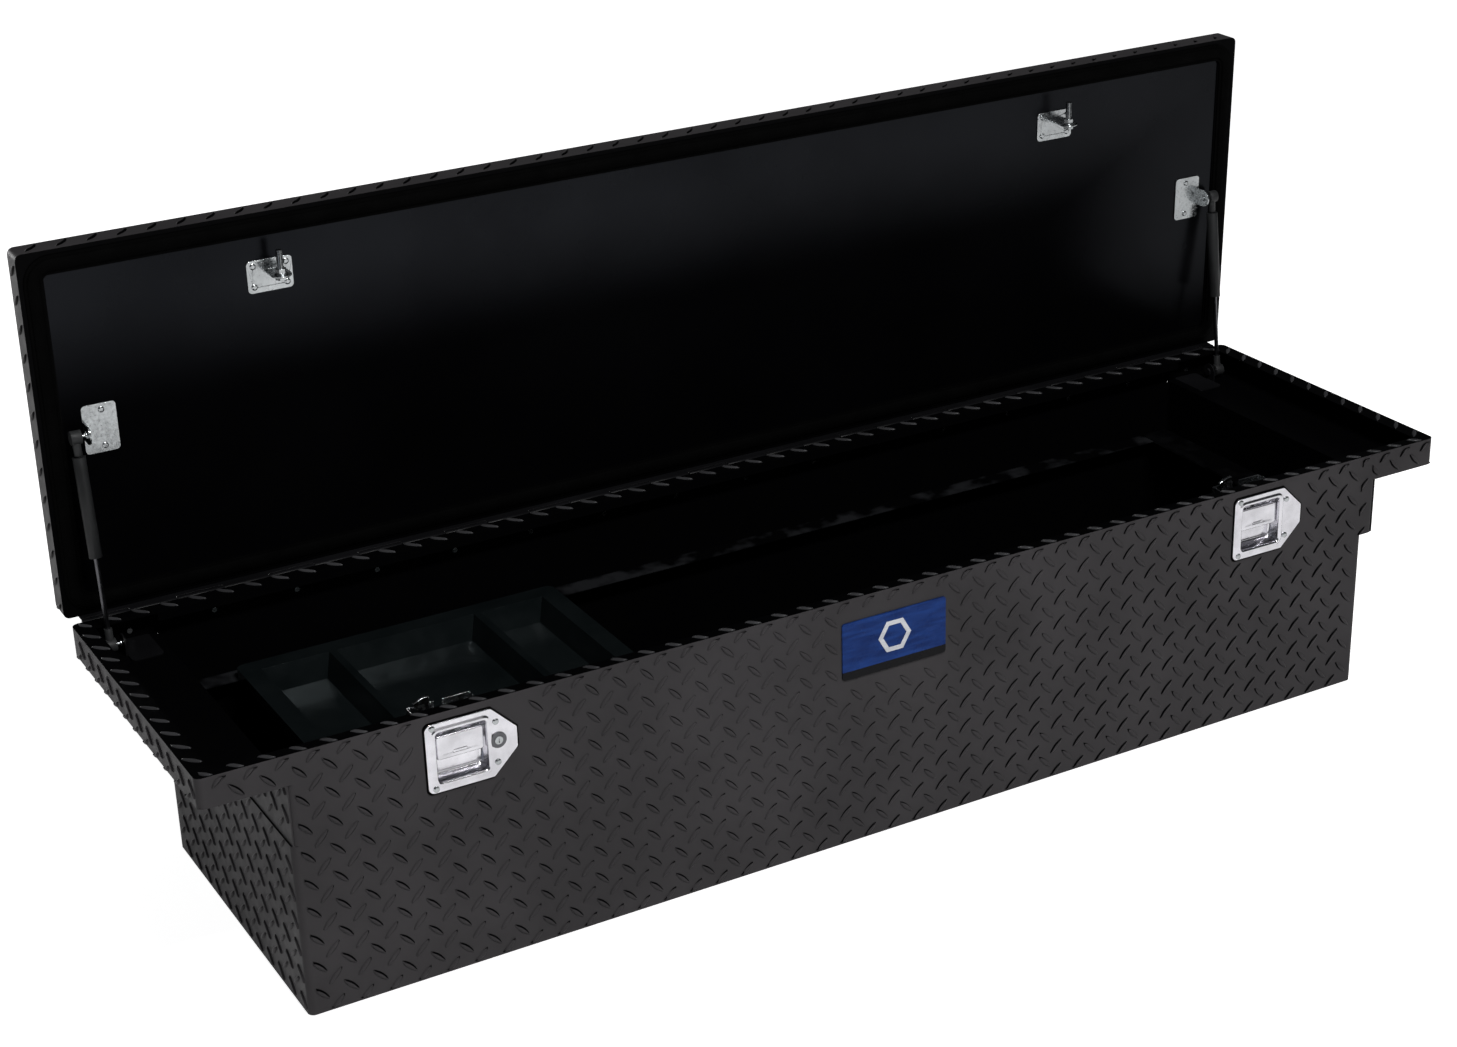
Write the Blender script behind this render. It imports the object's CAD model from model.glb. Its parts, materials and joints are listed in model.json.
"""Looks of a low-profile crossover truck tool box: tread plate, chrome paddle latches, gas struts, tray."""

import json
import math

import bmesh
import bpy
from mathutils import Matrix, Vector


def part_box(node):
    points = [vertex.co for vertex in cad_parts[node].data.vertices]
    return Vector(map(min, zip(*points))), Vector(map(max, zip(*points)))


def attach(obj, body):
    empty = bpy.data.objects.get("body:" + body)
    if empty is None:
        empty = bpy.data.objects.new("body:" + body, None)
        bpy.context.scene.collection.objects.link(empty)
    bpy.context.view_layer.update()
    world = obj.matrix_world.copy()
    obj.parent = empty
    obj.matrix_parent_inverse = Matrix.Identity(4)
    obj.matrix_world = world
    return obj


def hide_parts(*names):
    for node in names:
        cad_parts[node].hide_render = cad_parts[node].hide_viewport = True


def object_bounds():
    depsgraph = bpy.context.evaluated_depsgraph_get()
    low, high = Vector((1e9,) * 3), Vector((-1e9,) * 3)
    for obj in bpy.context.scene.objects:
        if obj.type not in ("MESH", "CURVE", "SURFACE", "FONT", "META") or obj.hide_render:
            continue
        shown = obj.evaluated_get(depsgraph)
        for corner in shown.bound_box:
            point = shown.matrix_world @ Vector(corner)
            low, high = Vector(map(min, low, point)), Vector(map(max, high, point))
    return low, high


MM = 0.001

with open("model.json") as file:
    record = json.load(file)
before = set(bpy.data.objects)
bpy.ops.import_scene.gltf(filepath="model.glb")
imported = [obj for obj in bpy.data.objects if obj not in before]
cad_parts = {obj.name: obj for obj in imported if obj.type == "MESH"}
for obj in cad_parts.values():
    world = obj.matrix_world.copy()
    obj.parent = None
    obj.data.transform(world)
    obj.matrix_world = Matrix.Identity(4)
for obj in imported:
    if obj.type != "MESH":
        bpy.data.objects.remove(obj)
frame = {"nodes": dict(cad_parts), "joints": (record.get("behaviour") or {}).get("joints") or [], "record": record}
cad_low, cad_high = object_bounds()
joints = {j["name"]: j for j in frame["joints"]}

# The lid is modelled shut and swung open about its hinge, like the CAD.
hinge = Vector(joints["lid_hinge"]["pos_m"])
lid_open = math.radians(joints["lid_hinge"]["range_deg"][1])
swing = Matrix.Translation(hinge) @ Matrix.Rotation(-lid_open, 4, "X") @ Matrix.Translation(-hinge)

front_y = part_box("front_panel")[0].y
back_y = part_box("back_panel")[1].y
rim_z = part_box("front_panel")[1].z
seam_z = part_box("front_panel")[0].z
wing_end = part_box("right_wing")[1].x
latch_x = {side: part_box(f"{side}_latch_plate")[0].x for side in ("left", "right")}


# ---------- materials ----------

class Nodes:
    """A short way to wire a procedural material."""

    def __init__(self, name):
        self.material = bpy.data.materials.new(name)
        self.material.use_nodes = True
        self.tree = self.material.node_tree
        self.tree.nodes.clear()
        self.out = self.add("ShaderNodeOutputMaterial")
        self.surface = self.add("ShaderNodeBsdfPrincipled")
        self.link(self.surface.outputs[0], self.out.inputs["Surface"])
        where = self.add("ShaderNodeTexCoord")
        self.coords = where.outputs["Object"]
        self.normals = where.outputs["Normal"]

    def add(self, kind, **inputs):
        node = self.tree.nodes.new(kind)
        for key, value in inputs.items():
            node.inputs[key.replace("_", " ")].default_value = value
        return node

    def link(self, a, b):
        self.tree.links.new(a, b)

    def set(self, **values):
        for key, value in values.items():
            self.surface.inputs[key.replace("_", " ")].default_value = value

    def stretched(self, scale):
        mapping = self.add("ShaderNodeMapping", Scale=scale)
        self.link(self.coords, mapping.inputs["Vector"])
        return mapping.outputs["Vector"]

    def noise(self, scale, detail=3.0, vector=None):
        node = self.add("ShaderNodeTexNoise", Scale=scale, Detail=detail)
        self.link(vector or self.coords, node.inputs["Vector"])
        return node.outputs["Fac"]

    def ramp(self, factor, low, high, start=0.35, end=0.65):
        node = self.add("ShaderNodeValToRGB")
        first, last = node.color_ramp.elements
        first.position, last.position = start, end
        first.color, last.color = low, high
        self.link(factor, node.inputs["Fac"])
        return node.outputs["Color"]

    def grey_ramp(self, factor, low, high, start=0.35, end=0.65):
        return self.ramp(factor, (low, low, low, 1), (high, high, high, 1), start, end)

    def operate(self, kind, operation, *operands):
        node = self.add(kind)
        node.operation = operation
        for socket, operand in zip(node.inputs, operands):
            if isinstance(operand, bpy.types.NodeSocket):
                self.link(operand, socket)
            else:
                socket.default_value = operand
        return node.outputs["Value" if operation in ("DOT_PRODUCT", "LESS_THAN") else 0]

    def facing(self, middle):
        """1 on faces that look towards a middle point, 0 on faces that look away from it."""
        outward = self.operate("ShaderNodeVectorMath", "SUBTRACT", self.coords, middle)
        along = self.operate("ShaderNodeVectorMath", "DOT_PRODUCT", outward, self.normals)
        return self.operate("ShaderNodeMath", "LESS_THAN", along, 0.0)

    def span(self, axis, low, high):
        """Rises smoothly from 0 to 1 between two places along an axis."""
        split = self.add("ShaderNodeSeparateXYZ")
        self.link(self.coords, split.inputs[0])
        node = self.add("ShaderNodeMapRange", From_Min=low, From_Max=high)
        node.interpolation_type = "SMOOTHSTEP"
        self.link(split.outputs[axis], node.inputs["Value"])
        return node.outputs["Result"]

    def mix(self, factor, first, second):
        node = self.add("ShaderNodeMix")
        node.data_type = "RGBA"
        self.link(factor, node.inputs["Factor"])
        for socket, value in ((node.inputs[6], first), (node.inputs[7], second)):
            if isinstance(value, bpy.types.NodeSocket):
                self.link(value, socket)
            else:
                socket.default_value = value
        return node.outputs[2]

    def bump(self, height, strength, distance):
        node = self.add("ShaderNodeBump", Strength=strength, Distance=distance)
        self.link(height, node.inputs["Height"])
        if self.surface.inputs["Normal"].is_linked:
            earlier = self.surface.inputs["Normal"].links[0].from_socket
            self.link(earlier, node.inputs["Normal"])
        self.link(node.outputs["Normal"], self.surface.inputs["Normal"])


def color(r, g, b):
    return (r, g, b, 1.0)


def powder_coat(name, dark, light, rough=0.34, shine=0.04, middle=None):
    """Satin powder coat.

    With a middle point, the faces that look inwards are deep and dull black, and the tray has rubbed the
    paint at the height of its ledge.
    """
    n = Nodes(name)
    tone = n.ramp(n.noise(7.0), dark, light)
    if middle:
        inside = n.facing(middle)
        below = n.span("Z", LEDGE_Z - 2 * MM, LEDGE_Z - 0.5 * MM)
        above = n.span("Z", LEDGE_Z + 2 * MM, LEDGE_Z + 0.5 * MM)
        rubbed = n.operate("ShaderNodeMath", "MULTIPLY", below, above)
        streaks = n.grey_ramp(n.noise(24.0, 2.0), 0.0, 1.0, 0.45, 0.62)
        deep = n.mix(n.operate("ShaderNodeMath", "MULTIPLY", rubbed, streaks),
                     color(0.0012, 0.0012, 0.0014), color(0.014, 0.0145, 0.016))
        tone = n.mix(inside, tone, deep)
        n.link(n.operate("ShaderNodeMath", "MULTIPLY_ADD", inside, 0.02 - shine, shine),
               n.surface.inputs["Specular IOR Level"])
    else:
        n.set(Specular_IOR_Level=shine)
    n.link(tone, n.surface.inputs["Base Color"])
    n.link(n.grey_ramp(n.noise(60.0), rough - 0.04, rough + 0.06), n.surface.inputs["Roughness"])
    n.bump(n.noise(1400.0, 1.0), 0.08, 0.0002)
    n.bump(n.noise(300.0, 2.0), 0.06, 0.0003)
    return n.material


def gloss_panel():
    """Smooth black sheet whose wax has kept its shine along the top and at the right end."""
    n = Nodes("gloss_black_panel")
    n.link(n.ramp(n.noise(4.0), color(0.0008, 0.0008, 0.001), color(0.0014, 0.0014, 0.0017)),
           n.surface.inputs["Base Color"])
    top = n.span("Z", 0.58, 0.74)
    end = n.operate("ShaderNodeMath", "MULTIPLY", n.span("X", 0.55, 0.85), n.span("Z", 0.38, 0.52))
    shiny = n.operate("ShaderNodeMath", "MAXIMUM", top, end)
    cloudy = n.operate("ShaderNodeMath", "MULTIPLY", shiny, n.grey_ramp(n.noise(5.0, 4.0), 0.75, 1.0))
    gloss = n.operate("ShaderNodeMath", "MULTIPLY_ADD", cloudy, 0.16, 0.004)
    n.link(gloss, n.surface.inputs["Specular IOR Level"])
    n.link(n.grey_ramp(n.noise(6.0, 4.0), 0.2, 0.3), n.surface.inputs["Roughness"])
    n.bump(n.noise(3.0, 1.0), 0.04, 0.002)
    n.set(Specular_Tint=color(0.8, 0.86, 1.0))
    return n.material


def bare_metal(name, tint, rough, brushed, patches):
    """Metal with fine streaks; brushed stretches them, patches widens the spread of roughness."""
    n = Nodes(name)
    dark = color(*(0.82 * t for t in tint))
    n.link(n.ramp(n.noise(45.0), dark, color(*tint)), n.surface.inputs["Base Color"])
    streaks = n.noise(220.0, 4.0, n.stretched(brushed))
    n.link(n.grey_ramp(streaks, rough, rough + patches), n.surface.inputs["Roughness"])
    n.bump(streaks, 0.05, 0.0001)
    n.set(Metallic=1.0)
    return n.material


def soft_solid(name, base, rough, grain, shine=0.25):
    """Rubber, nylon, paint or foam with a fine grain."""
    n = Nodes(name)
    lighter = color(*(1.6 * c for c in base[:3]))
    n.link(n.ramp(n.noise(30.0), base, lighter), n.surface.inputs["Base Color"])
    n.link(n.grey_ramp(n.noise(90.0), rough, rough + 0.12), n.surface.inputs["Roughness"])
    n.bump(n.noise(grain, 2.0), 0.2, 0.0003)
    n.set(Specular_IOR_Level=shine)
    return n.material


def enamel(name, dark, light, strip_top=None):
    """Brushed enamel; below strip_top it is plain black."""
    n = Nodes(name)
    grain = n.noise(160.0, 3.0, n.stretched((0.15, 1.0, 1.0)))
    tone = n.ramp(grain, dark, light)
    if strip_top is not None:
        tone = n.mix(n.span("Z", strip_top, strip_top + 0.2 * MM), color(0.003, 0.003, 0.004), tone)
    n.link(tone, n.surface.inputs["Base Color"])
    n.link(n.grey_ramp(n.noise(80.0), 0.24, 0.36), n.surface.inputs["Roughness"])
    n.bump(n.noise(500.0), 0.05, 0.0002)
    n.set(Specular_IOR_Level=0.1)
    return n.material


# Points that the inner faces of the tub and of the open lid look towards.
TUB_MIDDLE = (0.0, 0.0, 0.4)
LID_MIDDLE = (0.0, -0.5, 0.58)
# Top of the ledges that the tray slides on.
LEDGE_Z = seam_z
# Height of the black strip along the foot of the badge.
BADGE_STRIP = 11 * MM
# Metal without a brushing direction.
EVEN = (1.0, 1.0, 1.0)
coat_tones = color(0.037, 0.035, 0.0367), color(0.046, 0.0433, 0.0455)
coat = powder_coat("black_powder_coat", *coat_tones, middle=TUB_MIDDLE)
coat_lid = powder_coat("black_powder_coat_lid", *coat_tones, middle=LID_MIDDLE)
rim_crest = powder_coat("black_powder_coat_crest", color(0.03, 0.03, 0.032), color(0.05, 0.05, 0.053),
                        shine=0.14)
black_steel = powder_coat("black_painted_steel", color(0.004, 0.004, 0.0045), color(0.007, 0.007, 0.008),
                          rough=0.4, shine=0.1)
panel_black = gloss_panel()
chrome = bare_metal("polished_stainless", (0.8, 0.79, 0.83), 0.12, (0.05, 1.0, 1.0), 0.1)
zinc = bare_metal("zinc_plate", (0.5, 0.52, 0.53), 0.13, EVEN, 0.18)
rod_steel = bare_metal("ground_rod", (0.14, 0.14, 0.15), 0.3, (1.0, 1.0, 0.05), 0.08)
rubber = soft_solid("seal_rubber", color(0.0008, 0.0008, 0.0008), 0.7, 700.0, 0.02)
nylon = soft_solid("socket_nylon", color(0.016, 0.0165, 0.017), 0.45, 900.0)
tube_paint = soft_solid("strut_tube_paint", color(0.012, 0.0125, 0.013), 0.35, 1100.0)
foam = soft_solid("foam_core", color(0.42, 0.38, 0.26), 0.8, 400.0)
badge_blue = enamel("badge_blue", color(0.003, 0.018, 0.1), color(0.008, 0.036, 0.17),
                    strip_top=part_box("badge_plate")[0].z + BADGE_STRIP)
badge_white = enamel("badge_white", color(0.5, 0.51, 0.54), color(0.6, 0.61, 0.64))


def smoky_plastic():
    """Glossy, nearly black vacuum-formed plastic."""
    n = Nodes("smoky_tray_plastic")
    n.link(n.ramp(n.noise(12.0), color(0.0035, 0.005, 0.0054), color(0.006, 0.008, 0.0085)),
           n.surface.inputs["Base Color"])
    n.link(n.grey_ramp(n.noise(40.0), 0.17, 0.26), n.surface.inputs["Roughness"])
    n.bump(n.noise(12.0, 1.0), 0.03, 0.001)
    n.set(Specular_IOR_Level=0.5, Specular_Tint=color(0.85, 0.97, 1.0))
    return n.material


tray_plastic = smoky_plastic()


# ---------- mesh helpers ----------

def make_piece(name, bm, body, material, smooth=35.0):
    """Turns a bmesh into a piece that rides on a body."""
    mesh = bpy.data.meshes.new(name)
    bmesh.ops.recalc_face_normals(bm, faces=bm.faces)
    bm.to_mesh(mesh)
    bm.free()
    mesh.materials.append(material)
    mesh.shade_smooth()
    mesh.set_sharp_from_angle(angle=math.radians(smooth))
    piece = bpy.data.objects.new(name, mesh)
    bpy.context.scene.collection.objects.link(piece)
    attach(piece, body)
    return piece


def soften(piece, width):
    """Welds a CAD mesh and rounds its edges with modifiers; the mesh itself stays as packed."""
    weld = piece.modifiers.new("weld", "WELD")
    weld.merge_threshold = 1e-6
    bevel = piece.modifiers.new("round_edges", "BEVEL")
    bevel.width = width
    bevel.segments = 2
    bevel.limit_method = "ANGLE"
    bevel.angle_limit = math.radians(40)
    bevel.harden_normals = True


def loft(bm, rings):
    """Joins rings of equal length with quads and caps both ends."""
    made = [[bm.verts.new(p) for p in ring] for ring in rings]
    for a, b in zip(made, made[1:]):
        for i in range(len(a)):
            j = (i + 1) % len(a)
            bm.faces.new((a[i], a[j], b[j], b[i]))
    bm.faces.new(list(reversed(made[0])))
    bm.faces.new(made[-1])


def lathe(bm, profile, start, axis, side, steps):
    """Turns (distance, radius) pairs about an axis; both ends are capped."""
    other = axis.cross(side)
    rings = []
    for along, radius in profile:
        centre = start + axis * along
        turn = [2 * math.pi * i / steps for i in range(steps)]
        rings.append([centre + radius * (math.cos(t) * side + math.sin(t) * other) for t in turn])
    loft(bm, rings)


# ---------- tread plate ----------

PITCH = 36 * MM
LOZENGE_LONG = 12.5 * MM
LOZENGE_WIDE = 3.2 * MM
LOZENGE_HIGH = 2.1 * MM
# Distance that lozenge centres keep from a latch gasket or the badge.
CLEAR = 9 * MM
# Rings of a lozenge from its foot up: share of its length, of its width, of its height.
RIDGE = ((1.0, 1.0, -0.15), (0.95, 0.84, 0.6), (0.78, 0.36, 0.97))


def lozenge_template(steps=14):
    """Rings of one raised lozenge along its own length."""
    rings = []
    for long_share, wide_share, height in RIDGE:
        ring = []
        for i in range(steps):
            t = 2 * math.pi * i / steps
            along = math.cos(t)
            across = math.sin(t) * (1 - 0.35 * along * along)
            ring.append((along * long_share * LOZENGE_LONG, across * wide_share * LOZENGE_WIDE,
                         height * LOZENGE_HIGH))
        rings.append(ring)
    return rings


def steps_within(low, high, first):
    """Whole numbers of pitches from first that land between low and high."""
    return range(math.ceil((low - first) / PITCH), math.floor((high - first) / PITCH) + 1)


def lattice(patch, phase, holes, spill):
    """Centres and turns of the lozenges of one patch; a hole keeps them a little away."""
    s0, s1, t0, t1 = patch
    for half, turn in ((0, 45), (1, -45)):
        first_s = phase[0] + half * PITCH / 2
        first_t = phase[1] + half * PITCH / 2
        for i in steps_within(s0 - spill, s1 + spill, first_s):
            for j in steps_within(t0 - spill, t1 + spill, first_t):
                s, t = first_s + i * PITCH, first_t + j * PITCH
                if not any(a - CLEAR < s < b + CLEAR and c - CLEAR < t < d + CLEAR for a, b, c, d in holes):
                    yield s, t, math.radians(turn)


def tread(name, body, place, patches, phase=(0.0, 0.0), material=coat, holes=(), spill=0.0):
    """Raised lozenges over flat patches.

    place turns (s, t, height) on the sheet into a point. A patch or a hole is (s low, s high, t low, t high).
    A lozenge centred in a patch is cut where it crosses the edge; spill also lets in centres just outside.
    """
    rings = lozenge_template()
    steps = len(rings[0])
    points = []
    faces = []
    for patch in patches:
        s0, s1, t0, t1 = patch
        for centre_s, centre_t, turn in lattice(patch, phase, holes, spill):
            c, d = math.cos(turn), math.sin(turn)
            first = len(points)
            for x, y, h in [point for ring in rings for point in ring] + [(0, 0, LOZENGE_HIGH)]:
                s = min(max(centre_s + x * c - y * d, s0), s1)
                t = min(max(centre_t + x * d + y * c, t0), t1)
                points.append(place(s, t, h))
            for k in range(len(rings) - 1):
                low, high = first + k * steps, first + (k + 1) * steps
                for m in range(steps):
                    n = (m + 1) % steps
                    faces.append((low + m, low + n, high + n, high + m))
            last, crest = first + (len(rings) - 1) * steps, first + len(rings) * steps
            faces += [(last + m, last + (m + 1) % steps, crest) for m in range(steps)]
            faces.append(tuple(first + m for m in reversed(range(steps))))
    mesh = bpy.data.meshes.new(name)
    mesh.from_pydata(points, [], faces)
    bm = bmesh.new()
    bm.from_mesh(mesh)
    bpy.data.meshes.remove(mesh)
    bmesh.ops.dissolve_degenerate(bm, dist=1e-6, edges=bm.edges)
    return make_piece(name, bm, body, material, smooth=60.0)


def outline_of(node, first, second):
    """A node's box as a patch along two axes."""
    low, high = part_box(node)
    return (low[first], high[first], low[second], high[second])


# Flat sheet starts this far from a seam, from a fold and from an upright corner.
STEP = 1.5 * MM
BEND = 4 * MM
CORNER = 8 * MM
# Height of the wing floor, and distance of the shoulder walls from the middle.
WING_FLOOR = rim_z - 38 * MM
SHOULDER = 784 * MM
TUB_LOW, TUB_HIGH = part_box("left_tub_end")[0].x + CORNER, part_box("right_tub_end")[1].x - CORNER


def side_patches(top):
    """The flat parts of a long side, up to a height."""
    end = wing_end - CORNER
    shoulder = SHOULDER - CORNER
    return [(-shoulder, TUB_HIGH, BEND, top), (TUB_HIGH, shoulder, seam_z + STEP, top),
            (-end, -shoulder, WING_FLOOR + STEP, top), (shoulder, end, WING_FLOOR + STEP, top)]


def tread_tub():
    """Lozenges on every outer sheet of the tub."""
    holes = [outline_of("left_latch_gasket", 0, 2), outline_of("right_latch_gasket", 0, 2),
             outline_of("badge_plate", 0, 2)]
    side_phase = (5 * MM, 8 * MM)
    under_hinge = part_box("hinge_tub_leaf")[0].z - STEP
    tread("tread_front", "tub", lambda s, t, h: (s, front_y - h, t), side_patches(rim_z - BEND), side_phase,
          holes=holes)
    tread("tread_back", "tub", lambda s, t, h: (s, back_y + h, t), side_patches(under_hinge), side_phase)
    tread("tread_floor_under", "tub", lambda s, t, h: (s, t, -h),
          [(TUB_LOW, TUB_HIGH, front_y + CORNER, back_y - CORNER)])
    across = front_y + CORNER, back_y - CORNER
    for side, way in (("left", -1), ("right", 1)):
        tub_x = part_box(f"{side}_tub_end")[0 if way < 0 else 1].x
        tread(f"tread_{side}_lower_end", "tub", lambda s, t, h: (tub_x + way * h, s, t),
              [(*across, BEND, seam_z - STEP)], (6 * MM, 14 * MM))
        tread(f"tread_{side}_shoulder", "tub", lambda s, t, h: (way * (SHOULDER + h), s, t),
              [(*across, seam_z + STEP, WING_FLOOR)], (6 * MM, seam_z))
        tread(f"tread_{side}_wing_end", "tub", lambda s, t, h: (way * (wing_end + h), s, t),
              [(*across, WING_FLOOR + STEP, rim_z - BEND)], (6 * MM, rim_z - 18 * MM))


def tread_rims():
    """Lozenges along the narrow rim, in a shinier coat because their worn crests catch the light."""
    end = wing_end - CORNER
    front, back, inner = front_y + 12 * MM, back_y - 23 * MM, wing_end - 23 * MM
    rims = [(-end, end, front_y + STEP, front), (-end, end, back, back_y - STEP),
            (-wing_end + STEP, -inner, front, back), (inner, wing_end - STEP, front, back)]
    tread("tread_rim", "tub", lambda s, t, h: (s, t, rim_z + h), rims, (9 * MM, front_y - 10 * MM), rim_crest,
          spill=3 * MM)


def shut_box(node):
    """Two corners of a lid node's box with the lid shut."""
    shut = swing.inverted()
    points = [shut @ vertex.co for vertex in frame["nodes"][node].data.vertices]
    return Vector(map(min, *points)), Vector(map(max, *points))


def tread_lid():
    """Lozenges on the lid's top and skirts, laid out on the shut lid."""
    low, high = shut_box("lid_skin")
    skirt = low.z + STEP, high.z - BEND
    skirt_phase = (0, low.z + 16 * MM)

    def on_top(s, t, h):
        return swing @ Vector((s, t, high.z + h))

    def on_front(s, t, h):
        return swing @ Vector((s, low.y - h, t))

    top = (low.x + BEND, high.x - BEND, low.y + BEND, high.y - BEND)
    front = (low.x + CORNER, high.x - CORNER, *skirt)
    tread("tread_lid_top", "lid", on_top, [top], (0, 4 * MM), coat_lid)
    tread("tread_lid_front", "lid", on_front, [front], skirt_phase, coat_lid)
    for side, x, way in (("left", low.x, -1), ("right", high.x, 1)):
        tread(f"tread_lid_{side}", "lid", lambda s, t, h: swing @ Vector((x + way * h, s, t)),
              [(low.y + CORNER, high.y - CORNER, *skirt)], skirt_phase, coat_lid)


tread_tub()
tread_rims()
tread_lid()


# ---------- latches ----------

# Directions in which nested outlines are joined.
STEPS = 72


def rounded(corners, radii, steps=6):
    """Outline of a convex polygon with round corners, as 2-D points."""
    out = []
    for i, (corner, r) in enumerate(zip(corners, radii)):
        p = Vector(corner)
        before = (Vector(corners[i - 1]) - p).normalized()
        after = (Vector(corners[(i + 1) % len(corners)]) - p).normalized()
        half = before.angle(after) / 2
        centre = p + (before + after).normalized() * (r / math.sin(half))
        first = p + before * (r / math.tan(half)) - centre
        last = p + after * (r / math.tan(half)) - centre
        out += [centre + first.slerp(last, k / steps).normalized() * r for k in range(steps + 1)]
    return out


def reach(outline, centre, angle):
    """The outline's point straight out from the centre in one direction."""
    d = Vector((math.cos(angle), math.sin(angle)))
    best = 0.0
    for a, b in zip(outline, outline[1:] + outline[:1]):
        edge = b - a
        across = d.x * edge.y - d.y * edge.x
        if abs(across) < 1e-12:
            continue
        to_a = a - centre
        share = (to_a.x * d.y - to_a.y * d.x) / across
        if -1e-6 <= share <= 1 + 1e-6:
            best = max(best, (to_a.x * edge.y - to_a.y * edge.x) / across)
    return centre + d * best


def stepped_disc(bm, centre, levels, place):
    """Skins nested outlines from the outermost to the innermost; place turns (u, z, v) into a point."""
    angles = [2 * math.pi * i / STEPS for i in range(STEPS)]
    for outline, _ in levels:
        angles += [math.atan2((p - centre).y, (p - centre).x) % (2 * math.pi) for p in outline]
    angles.sort()
    kept = [angles[0]]
    for a in angles[1:]:
        if a - kept[-1] > 0.004:
            kept.append(a)
    rings = []
    for outline, v in levels:
        rings.append([bm.verts.new(place(*reach(outline, centre, a), v)) for a in kept])
    for outer, inner in zip(rings, rings[1:]):
        for i in range(len(kept)):
            j = (i + 1) % len(kept)
            bm.faces.new((outer[i], outer[j], inner[j], inner[i]))
    bm.faces.new(rings[-1])


def cut_window(bm, low, high, behind):
    """Opens a rectangular window in the faces deeper than a given y."""
    for co, no in (((low[0], 0, 0), (1, 0, 0)), ((high[0], 0, 0), (1, 0, 0)),
                   ((0, 0, low[1]), (0, 0, 1)), ((0, 0, high[1]), (0, 0, 1))):
        bmesh.ops.bisect_plane(bm, geom=bm.verts[:] + bm.edges[:] + bm.faces[:], plane_co=co, plane_no=no)
    inside = []
    for face in bm.faces:
        c = face.calc_center_median()
        if low[0] < c.x < high[0] and low[1] < c.z < high[1] and c.y > behind:
            inside.append(face)
    bmesh.ops.delete(bm, geom=inside, context="FACES")


def thicken(piece, thickness):
    """Gives a one-sided skin its wall, inwards from the drawn face."""
    wall = piece.modifiers.new("wall", "SOLIDIFY")
    wall.thickness = thickness
    wall.offset = -1.0


def latch_plate(side):
    """Face plate with a rolled edge, a raised bead and the pressed pan."""
    left = latch_x[side]
    gasket_low, gasket_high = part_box(f"{side}_latch_gasket")
    mid_z = (gasket_low.z + gasket_high.z) / 2
    # The plate's length, half its height and the slant of its nose; half the well and its middle.
    long, half, nose = 113 * MM, 44 * MM, 31 * MM
    well, well_mid = 31 * MM, 44 * MM

    def face(inset):
        i = inset * MM
        k = math.tan(math.radians(22.5)) * i
        corners = [(i, -half + i), (long - nose - k, -half + i), (long - i, nose - half + k),
                   (long - i, half - nose - k), (long - nose - k, half - i), (i, half - i)]
        big, small = max(8 * MM - i, MM), 4 * MM
        return rounded(corners, [big, small, small, small, small, big])

    def square(grow):
        h = well + grow * MM
        corners = [(well_mid - h, -h), (well_mid + h, -h), (well_mid + h, h), (well_mid - h, h)]
        return rounded(corners, [4 * MM + max(grow, -2) * MM] * 4)

    # Outlines from the plate's edge over the bead and down into the well, with their depth in mm.
    levels = [(face(0), -1.0), (face(0.05), -1.6), (face(0.35), -2.05), (face(1.0), -2.2),
              (square(7.6), -2.2), (square(6.4), -2.5), (square(5.2), -3.3), (square(3.8), -3.75),
              (square(2.4), -3.7), (square(1.2), -3.0), (square(0.4), -1.8), (square(0), -0.2),
              (square(-0.3), 11.8), (square(-0.9), 14.0), (square(-2.2), 15.1), (square(-4.0), 15.4)]
    bm = bmesh.new()
    stepped_disc(bm, Vector((well_mid, 0)), levels,
                 lambda u, z, v: (left + u, front_y + v * MM, mid_z + z))
    pivot = Vector(joints[f"{side}_paddle_pull"]["pos_m"])
    tab_low = (left + 41 * MM, pivot.z - 11 * MM)
    tab_high = (left + 51 * MM, pivot.z + 4 * MM)
    cut_window(bm, tab_low, tab_high, front_y + 10 * MM)
    plate = make_piece(f"{side}_latch_face", bm, "tub", chrome, smooth=50)
    thicken(plate, 1.0 * MM)
    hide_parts(f"{side}_latch_plate")


def box_shape(bm, low, high):
    """A plain block between two corners."""
    made = bmesh.ops.create_cube(bm, size=1.0)["verts"]
    middle, size = (Vector(low) + Vector(high)) / 2, Vector(high) - Vector(low)
    for v in made:
        v.co = middle + Vector((v.co.x * size.x, v.co.y * size.y, v.co.z * size.z))


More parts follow.
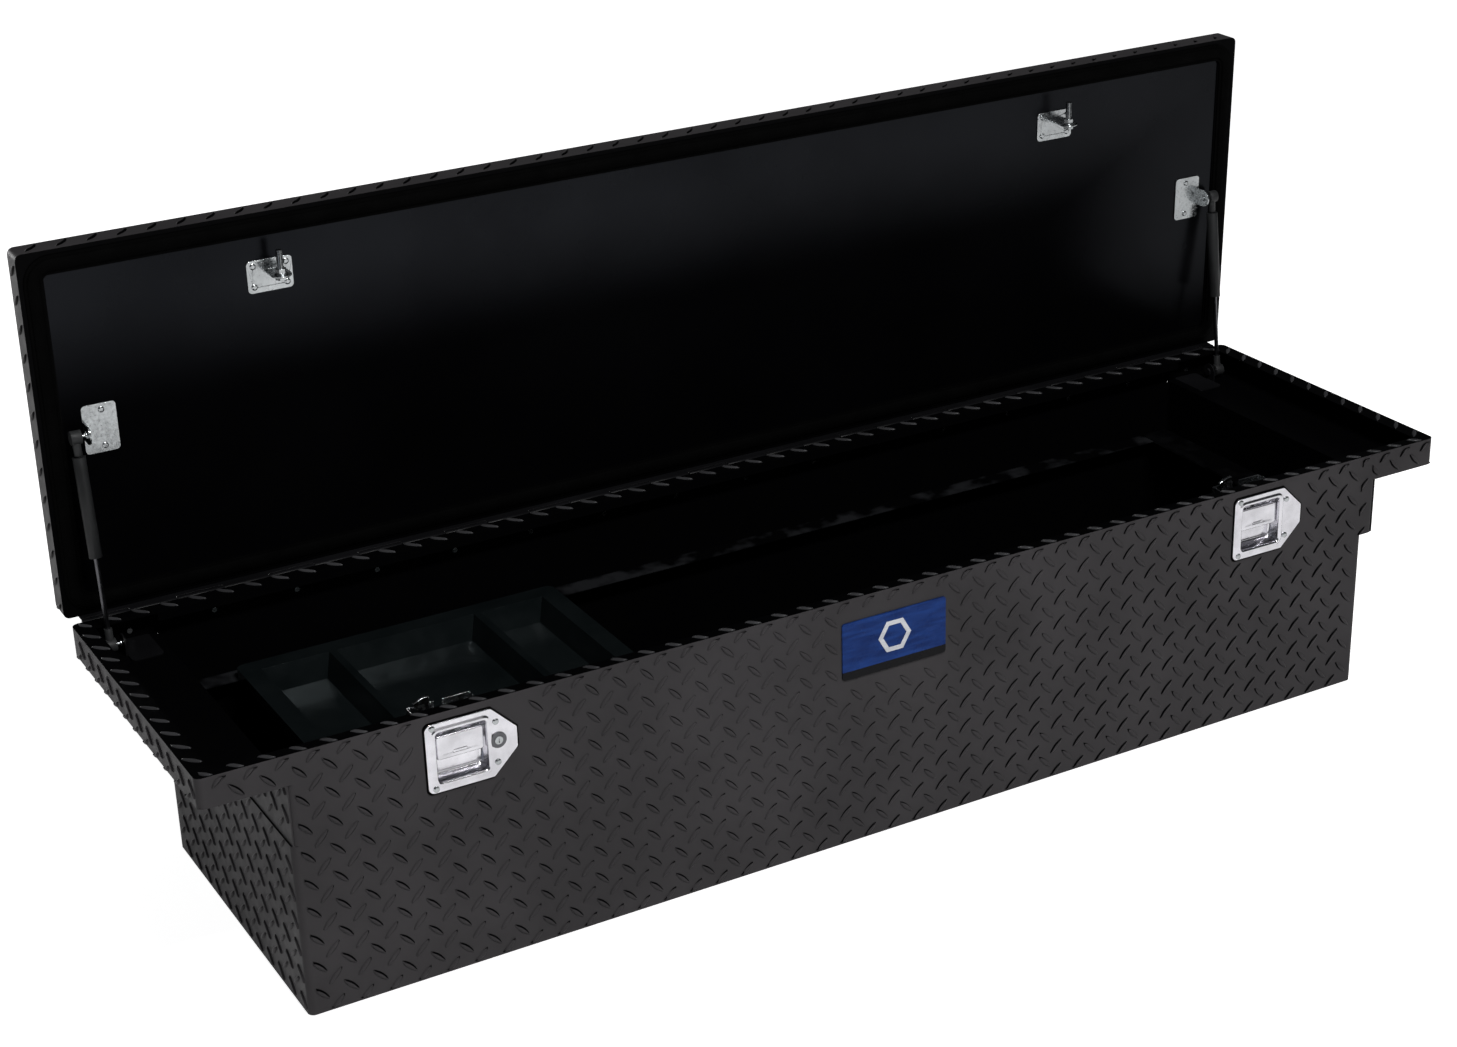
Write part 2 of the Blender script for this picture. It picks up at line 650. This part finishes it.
def paddle(side):
    """Dished finger plate with a rolled lower lip, its barrel and the tab behind it."""
    low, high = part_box(f"{side}_paddle")
    body = f"{side}_paddle"
    pivot = Vector(joints[f"{side}_paddle_pull"]["pos_m"])
    width, height = high.x - low.x, high.z - low.z
    centre = Vector(((low.x + high.x) / 2, (low.z + high.z) / 2))

    def plate(inset):
        i = inset * MM
        w, h = width / 2 - i, height / 2 - i
        corners = [centre + Vector(c) for c in ((-w, -h), (w, -h), (w, h), (-w, h))]
        return rounded(corners, [max(2.5 * MM - 0.3 * i, 0.6 * MM)] * 4)

    levels = [(plate(0), 5.4), (plate(0.05), 3.6), (plate(0.5), 2.5), (plate(1.4), 2.05), (plate(3.2), 2.0),
              (plate(5.0), 2.4), (plate(7.5), 3.0), (plate(10.0), 3.3)]
    bm = bmesh.new()
    stepped_disc(bm, centre, levels, lambda x, z, v: (x, front_y + v * MM, z))
    slot = low.z + 5 * MM
    cut_window(bm, (centre.x - 9 * MM, slot), (centre.x + 9 * MM, slot + 3 * MM), front_y)
    made = make_piece(f"{side}_paddle_face", bm, body, chrome, smooth=50)
    thicken(made, 1.2 * MM)
    bm = bmesh.new()
    x_axis, up = Vector((1, 0, 0)), Vector((0, 0, 1))
    start = Vector((low.x + 1 * MM, pivot.y, pivot.z))
    barrel = [(0, 2.6 * MM), (0.4 * MM, 3 * MM), (42.6 * MM, 3 * MM), (43 * MM, 2.6 * MM)]
    lathe(bm, barrel, start, x_axis, up, 24)
    lip = Vector((low.x + 2 * MM, front_y + 5.4 * MM, low.z + 1.9 * MM))
    roll = [(0, 1.2 * MM), (0.5 * MM, 1.7 * MM), (width - 4.5 * MM, 1.7 * MM), (width - 4 * MM, 1.2 * MM)]
    lathe(bm, roll, lip, x_axis, up, 20)
    left = latch_x[side]
    tab_low = (left + 42 * MM, front_y + 5 * MM, pivot.z - 2 * MM)
    tab_high = (left + 50 * MM, high.y, pivot.z + 2 * MM)
    box_shape(bm, tab_low, tab_high)
    back = make_piece(f"{side}_paddle_barrel", bm, body, zinc)
    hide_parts(f"{side}_paddle")


def tube(bm, path, radius, steps=8):
    """Round wire along a path of points."""
    rings = []
    for i, p in enumerate(path):
        ahead = path[min(i + 1, len(path) - 1)] - path[max(i - 1, 0)]
        turn = ahead.to_track_quat("Z", "X")
        ring = []
        for k in range(steps):
            t = 2 * math.pi * k / steps
            ring.append(p + turn @ Vector((radius * math.cos(t), radius * math.sin(t), 0)))
        rings.append(ring)
    loft(bm, rings)


def paddle_springs():
    """Torsion coils around the paddle pins."""
    bm = bmesh.new()
    turns, per_turn = 6, 16
    coil_radius, coil_pitch, wire = 2.7 * MM, 1.4 * MM, 0.6 * MM
    first_coil = 61.5 * MM
    for side in ("left", "right"):
        pivot = Vector(joints[f"{side}_paddle_pull"]["pos_m"])
        start = latch_x[side] + first_coil
        path = []
        for i in range(turns * per_turn + 1):
            t = 2 * math.pi * i / per_turn
            path.append(Vector((start + coil_pitch * i / per_turn, pivot.y + coil_radius * math.sin(t),
                                pivot.z + coil_radius * math.cos(t))))
        tube(bm, path, wire)
    coils = make_piece("paddle_coils", bm, "tub", zinc)
    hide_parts("paddle_springs")


for each_side in ("left", "right"):
    latch_plate(each_side)
    paddle(each_side)
paddle_springs()


# ---------- lid seal ----------

def lid_seal():
    """Bulb seal swept round the lid's folded edge; it ends above the rim's lozenges when the lid is shut."""
    low, high = shut_box("lid_seal")
    width, height = 22 * MM, high.z - low.z - LOZENGE_HIGH
    section = [(-0.5, 0), (0.5, 0), (0.5, -0.3), (0.36, -0.36), (0.3, -0.74), (0.14, -0.96), (0, -1),
               (-0.14, -0.96), (-0.3, -0.74), (-0.36, -0.36), (-0.5, -0.3)]
    inset = width / 2
    path = rounded([(low.x + inset, low.y + inset), (high.x - inset, low.y + inset),
                    (high.x - inset, high.y - inset), (low.x + inset, high.y - inset)], [width] * 4, 8)
    middle = Vector(((low.x + high.x) / 2, (low.y + high.y) / 2))
    bm = bmesh.new()
    rings = []
    for i, p in enumerate(path):
        along = (path[(i + 1) % len(path)] - path[i - 1]).normalized()
        out = Vector((along.y, -along.x))
        if out.dot(p - middle) < 0:
            out = -out
        ring = []
        for across, up in section:
            spot = p + out * (across * width)
            ring.append(bm.verts.new(swing @ Vector((spot.x, spot.y, high.z + up * height))))
        rings.append(ring)
    for a, b in zip(rings, rings[1:] + rings[:1]):
        for i in range(len(section)):
            j = (i + 1) % len(section)
            bm.faces.new((a[i], a[j], b[j], b[i]))
    seal = make_piece("lid_bulb_seal", bm, "lid", rubber)
    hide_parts("lid_seal")


lid_seal()


# ---------- finishes of the CAD nodes that stay ----------

FINISH = {
    "tread_sheet": coat,
    "black_steel": black_steel,
    "stainless": chrome,
    "zinc_steel": zinc,
    "seal_rubber": rubber,
    "badge_blue": badge_blue,
    "badge_white": badge_white,
    "socket_plastic": nylon,
    "smoky_plastic": tray_plastic,
    "foam": foam,
    "gloss_panel": panel_black,
    "aluminium_rod": rod_steel,
}
# Rounding of CAD edges where it is not the usual half millimetre.
EDGE = {"tray": 3.2 * MM, "lid_inner_panel": 0.6 * MM, "badge_plate": 0.8 * MM, "badge_emblem": 0.35 * MM}


def finish_cad_nodes():
    """Gives every CAD node its slot's material, then the few that differ; folded sheets are not rounded."""
    slots = {s["node"]: s["material_slot"] for s in frame["record"]["subparts"]}
    for name, piece in frame["nodes"].items():
        piece.data.materials.clear()
        piece.data.materials.append(FINISH[slots[name]])
        if slots[name] != "tread_sheet":
            soften(piece, EDGE.get(name, 0.5 * MM))
    for side in ("left", "right"):
        frame["nodes"][f"{side}_strut_rod"].data.materials[0] = rod_steel
        frame["nodes"][f"{side}_strut_tube"].data.materials[0] = tube_paint
    frame["nodes"]["lid_skin"].data.materials[0] = coat_lid
    frame["nodes"]["lock_body"].data.materials[0] = rod_steel


finish_cad_nodes()


# ---------- floor, light and camera ----------

def floor():
    """Pale floor, brighter to the camera than to the reflections on the box."""
    bm = bmesh.new()
    bmesh.ops.create_grid(bm, x_segments=8, y_segments=8, size=14)
    mesh = bpy.data.meshes.new("floor")
    bm.to_mesh(mesh)
    bm.free()
    n = Nodes("pale_floor")
    tone = n.ramp(n.noise(2.0), color(0.88, 0.88, 0.88), color(0.92, 0.92, 0.92))
    n.link(tone, n.surface.inputs["Base Color"])
    seen = n.add("ShaderNodeLightPath").outputs["Is Camera Ray"]
    glow = n.operate("ShaderNodeMath", "MULTIPLY_ADD", seen, 0.62, 0.28)
    n.link(glow, n.surface.inputs["Emission Strength"])
    n.set(Roughness=0.9, Emission_Color=color(1, 1, 1))
    mesh.materials.append(n.material)
    plane = bpy.data.objects.new("floor", mesh)
    plane.location.z = cad_low.z - 2 * MM
    bpy.context.scene.collection.objects.link(plane)


def area_light(name, place, target, size, power, tint=(1, 1, 1)):
    """Soft rectangular lamp that points at a target."""
    data = bpy.data.lights.new(name, "AREA")
    data.shape = "RECTANGLE"
    data.size, data.size_y = size
    data.energy = power
    data.color = tint
    lamp = bpy.data.objects.new(name, data)
    lamp.location = place
    lamp.rotation_euler = (Vector(target) - Vector(place)).to_track_quat("-Z", "Y").to_euler()
    bpy.context.scene.collection.objects.link(lamp)


def studio():
    """White backdrop for the camera, faint fill for everything else, and four soft lamps."""
    world = bpy.data.worlds.new("studio")
    world.use_nodes = True
    tree = world.node_tree
    tree.nodes.clear()
    out = tree.nodes.new("ShaderNodeOutputWorld")
    mix = tree.nodes.new("ShaderNodeMixShader")
    path = tree.nodes.new("ShaderNodeLightPath")
    seen = tree.nodes.new("ShaderNodeBackground")
    fill = tree.nodes.new("ShaderNodeBackground")
    seen.inputs["Strength"].default_value = 1.0
    seen.inputs["Color"].default_value = color(1, 1, 1)
    fill.inputs["Strength"].default_value = 0.04
    fill.inputs["Color"].default_value = color(0.92, 0.95, 1.0)
    tree.links.new(path.outputs["Is Camera Ray"], mix.inputs[0])
    tree.links.new(fill.outputs[0], mix.inputs[1])
    tree.links.new(seen.outputs[0], mix.inputs[2])
    tree.links.new(mix.outputs[0], out.inputs["Surface"])
    bpy.context.scene.world = world
    area_light("key", (-0.1, -2.9, 4.2), (0, 0, 0.2), (1.6, 0.5), 180)
    area_light("front_fill", (0.3, -6.0, 1.5), (0, 0, 0.2), (3.0, 2.0), 10)
    area_light("left_fill", (-4.5, -2.6, 1.4), (-0.6, 0, 0.2), (1.6, 1.0), 2, (0.8, 0.88, 1.0))
    area_light("back", (-2.5, 4.5, 0.9), (0, 0, 0.4), (3.0, 1.2), 90)


def camera():
    """Camera at the left front corner, looking down on the open box."""
    data = bpy.data.cameras.new("camera")
    data.lens = 65.16
    data.sensor_width = 36.0
    data.clip_end = 60.0
    eye = bpy.data.objects.new("camera", data)
    eye.location = (-1.5783, -2.6752, 1.7174)
    eye.rotation_euler = tuple(math.radians(a) for a in (66.124, 1.570, -29.658))
    bpy.context.scene.collection.objects.link(eye)
    bpy.context.scene.camera = eye


floor()
studio()
camera()
bpy.context.scene.view_settings.view_transform = "Standard"
